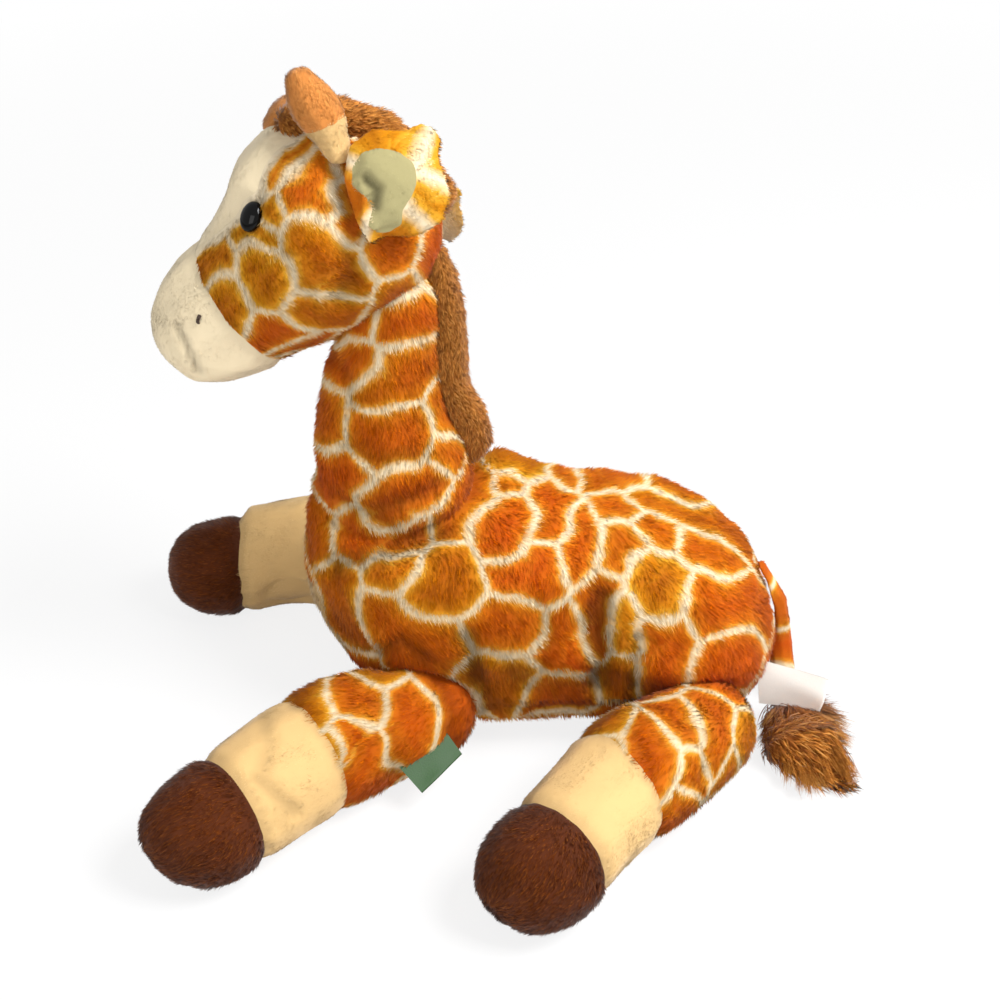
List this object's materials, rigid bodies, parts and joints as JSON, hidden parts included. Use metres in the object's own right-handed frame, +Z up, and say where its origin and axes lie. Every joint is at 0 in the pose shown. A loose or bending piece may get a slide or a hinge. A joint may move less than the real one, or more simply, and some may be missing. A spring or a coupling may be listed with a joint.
{
  "type": "plush giraffe",
  "caption": "Soft plush giraffe lying on its belly with splayed legs, raised neck, horns, flat ears, mane and tufted tail.",
  "frame": {"origin": "on the floor plane, at the centre of the belly's resting face", "axes": "-X is the way the giraffe faces, -Y its left side, +Z up from the floor that it lies on"},
  "size_m": [0.4135, 0.3843, 0.3882],
  "materials": {
    "spotted_plush": "long soft pile, orange-brown patches in cream",
    "cream_plush": "short cream pile",
    "muzzle_plush": "short pale pile",
    "hoof_plush": "dark brown pile",
    "mane_plush": "long brown pile",
    "tuft_plush": "long loose brown hair",
    "ear_felt": "short pale nap",
    "fibre_filling": "loose polyester fibre",
    "stitch_thread": "dark sewing thread",
    "label_cloth": "smooth white woven tape",
    "ribbon_cloth": "smooth green ribbon",
    "eye_plastic": "glossy black",
    "washer_plastic": "plain moulded"
  },
  "bodies": {
    "torso": {"torso_cover": "spotted_plush", "belly_panel": "cream_plush", "torso_stuffing": "fibre_filling", "care_label": "label_cloth"},
    "neck": {"neck_cover": "spotted_plush", "neck_stuffing": "fibre_filling", "neck_mane": "mane_plush"},
    "head": {"head_cover": "spotted_plush", "blaze_panel": "cream_plush", "muzzle_cover": "muzzle_plush", "head_stuffing": "fibre_filling", "crown_mane": "mane_plush", "eye_left": "eye_plastic", "eye_right": "eye_plastic", "eye_washer_left": "washer_plastic", "eye_washer_right": "washer_plastic", "nostril_left": "stitch_thread", "nostril_right": "stitch_thread"},
    "ear_left": {"ear_left_back": "spotted_plush", "ear_left_lining": "ear_felt"},
    "ear_right": {"ear_right_back": "spotted_plush", "ear_right_lining": "ear_felt"},
    "horn_left": {"horn_left_stem": "cream_plush", "horn_left_tip": "mane_plush"},
    "horn_right": {"horn_right_stem": "cream_plush", "horn_right_tip": "mane_plush"},
    "foreleg_left": {"foreleg_left_cover": "spotted_plush", "foreleg_left_cuff": "cream_plush", "foreleg_left_hoof": "hoof_plush", "foreleg_left_stuffing": "fibre_filling", "ribbon_tag": "ribbon_cloth"},
    "foreleg_right": {"foreleg_right_cover": "spotted_plush", "foreleg_right_cuff": "cream_plush", "foreleg_right_hoof": "hoof_plush", "foreleg_right_stuffing": "fibre_filling"},
    "hindleg_left": {"hindleg_left_cover": "spotted_plush", "hindleg_left_cuff": "cream_plush", "hindleg_left_hoof": "hoof_plush", "hindleg_left_stuffing": "fibre_filling"},
    "hindleg_right": {"hindleg_right_cover": "spotted_plush", "hindleg_right_cuff": "cream_plush", "hindleg_right_hoof": "hoof_plush", "hindleg_right_stuffing": "fibre_filling"},
    "tail": {"tail_cover": "spotted_plush", "tail_tuft": "tuft_plush"}
  },
  "joints": [
    {"name": "neck_lean", "type": "hinge", "parent": "torso", "child": "neck", "pos_m": [-0.0878, 0, 0.148], "axis": [0, 1, 0], "range_deg": [-8, 8]},
    {"name": "head_nod", "type": "hinge", "parent": "neck", "child": "head", "pos_m": [-0.0857, 0, 0.262], "axis": [0, 1, 0], "range_deg": [-12, 12]},
    {"name": "ear_left_lift", "type": "hinge", "parent": "head", "child": "ear_left", "pos_m": [-0.0925, -0.045, 0.3194], "axis": [0.7943, -0.2023, -0.5728], "range_deg": [-3, 24]},
    {"name": "ear_right_lift", "type": "hinge", "parent": "head", "child": "ear_right", "pos_m": [-0.0919, 0.0464, 0.2975], "axis": [0.6315, -0.341, 0.6964], "range_deg": [-3, 24]},
    {"name": "horn_left_bend", "type": "hinge", "parent": "head", "child": "horn_left", "pos_m": [-0.1068, -0.0241, 0.3449], "axis": [0, 1, 0], "range_deg": [-12, 12]},
    {"name": "horn_right_bend", "type": "hinge", "parent": "head", "child": "horn_right", "pos_m": [-0.1157, 0.0273, 0.3419], "axis": [0, 1, 0], "range_deg": [-12, 12]},
    {"name": "foreleg_left_splay", "type": "hinge", "parent": "torso", "child": "foreleg_left", "pos_m": [-0.074, -0.0596, 0.0295], "axis": [0, 0, 1], "range_deg": [-12, 12]},
    {"name": "foreleg_right_splay", "type": "hinge", "parent": "torso", "child": "foreleg_right", "pos_m": [-0.074, 0.0596, 0.0295], "axis": [0, 0, 1], "range_deg": [-12, 12]},
    {"name": "hindleg_left_splay", "type": "hinge", "parent": "torso", "child": "hindleg_left", "pos_m": [0.0834, -0.0753, 0.0295], "axis": [0, 0, 1], "range_deg": [-12, 12]},
    {"name": "hindleg_right_splay", "type": "hinge", "parent": "torso", "child": "hindleg_right", "pos_m": [0.0834, 0.0753, 0.0295], "axis": [0, 0, 1], "range_deg": [-12, 4]},
    {"name": "tail_swing", "type": "hinge", "parent": "torso", "child": "tail", "pos_m": [0.1193, 0, 0.0847], "axis": [0, 0, 1], "range_deg": [-4, 40]}
  ]
}
